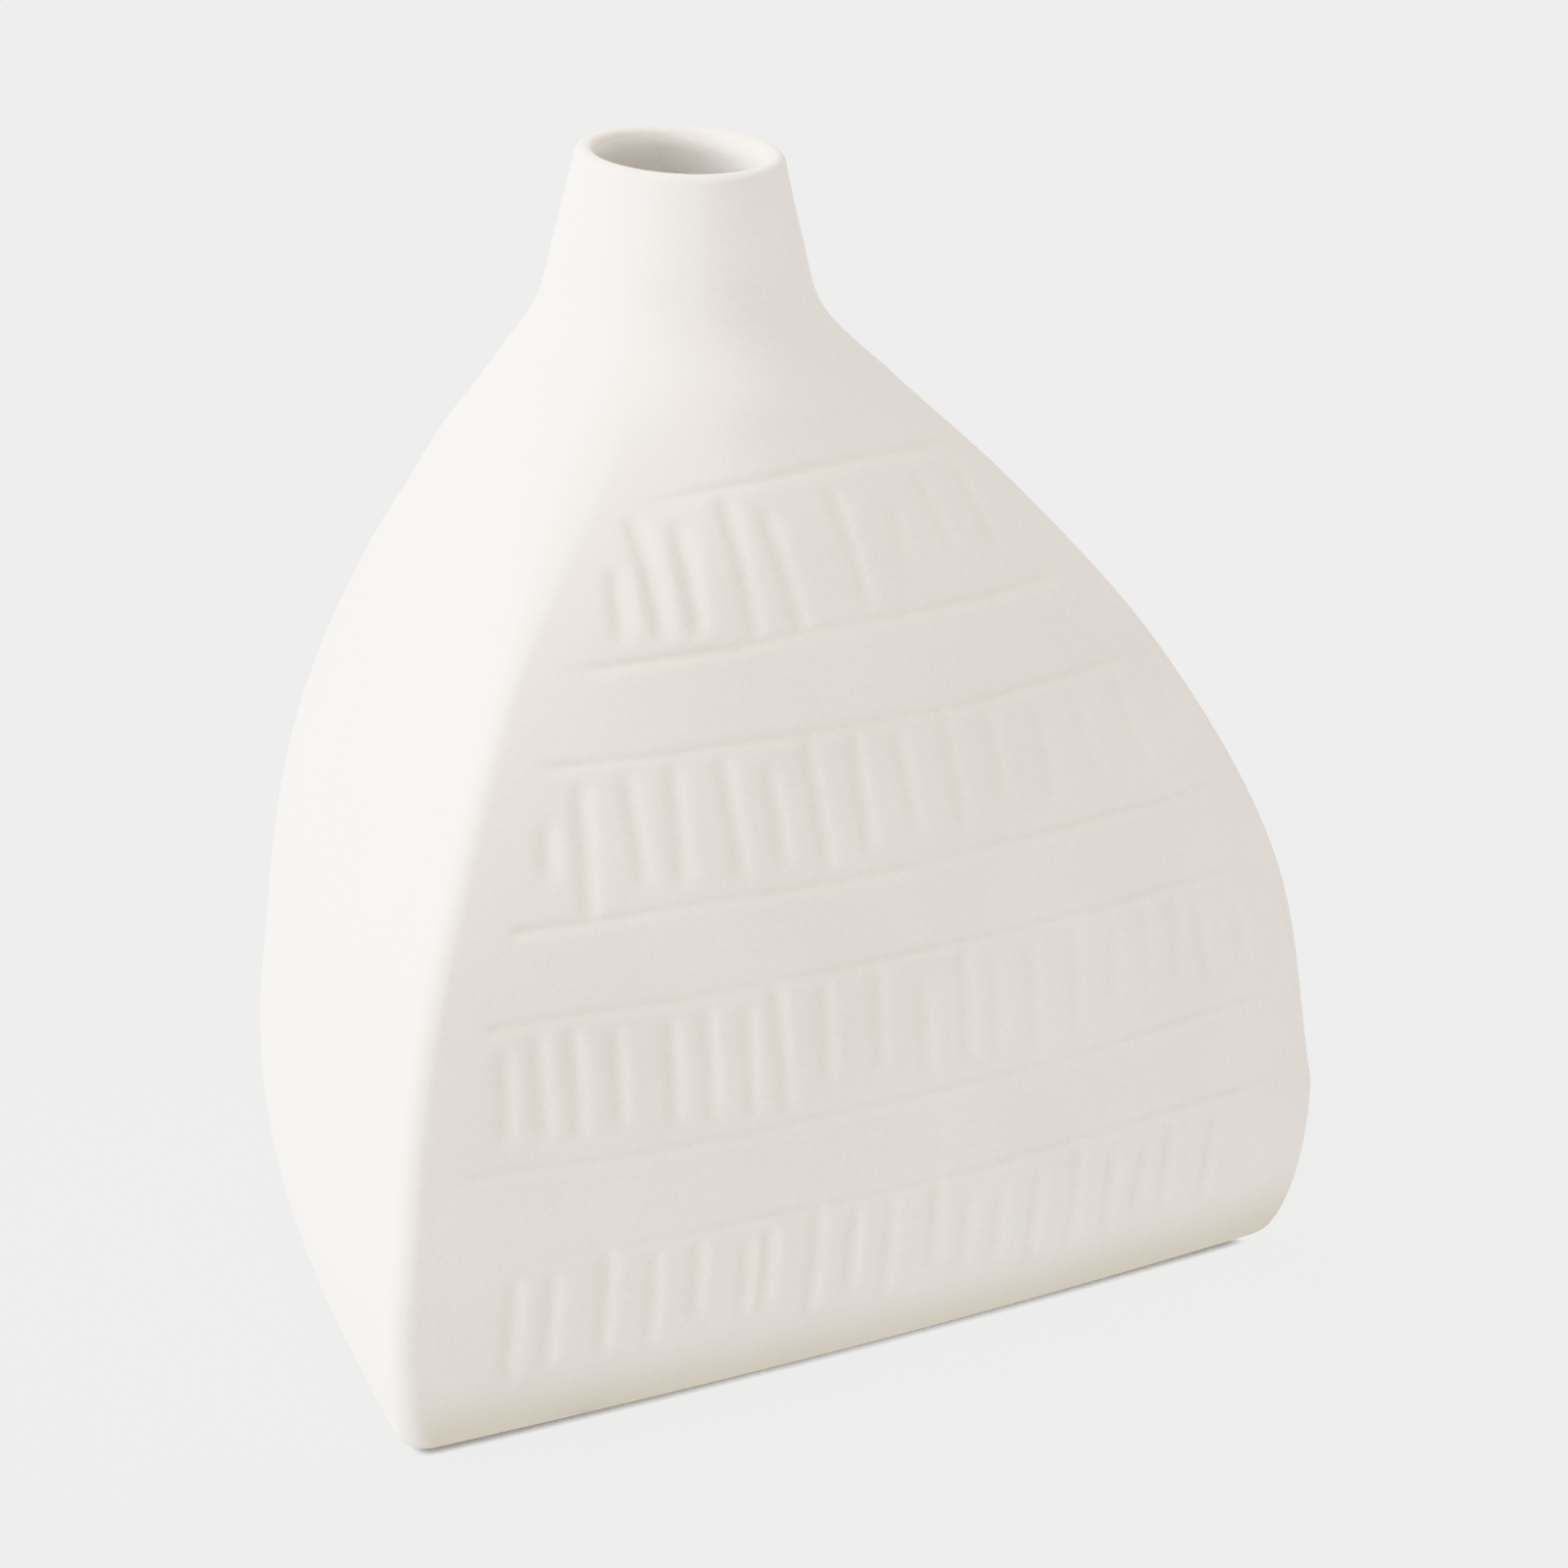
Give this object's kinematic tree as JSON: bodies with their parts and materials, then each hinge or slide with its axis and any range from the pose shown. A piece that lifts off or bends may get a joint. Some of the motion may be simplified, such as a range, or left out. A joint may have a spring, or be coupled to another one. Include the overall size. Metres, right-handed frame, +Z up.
{
  "type": "bud vase",
  "caption": "Three-sided ceramic bud vase: bowed faces rise from a flat triangular foot to a short round neck with a thin lip; felt pads under the corners.",
  "frame": {"origin": "on the neck's axis, in the plane that the three felt pads rest on; the middle of the flat underside of the base (mount foot_face) is 1 mm above it", "axes": "+Z up along the neck's axis, -Y out of the patterned front face, +Y out of the back ridge, +X to the right seen from the front"},
  "size_m": [0.1514, 0.1385, 0.152],
  "materials": {
    "white_ceramic": "matte",
    "felt": "matte"
  },
  "bodies": {
    "root": {"vase_body": "white_ceramic", "base_felt_pad_right": "felt", "base_felt_pad_back": "felt", "base_felt_pad_left": "felt"}
  },
  "joints": []
}
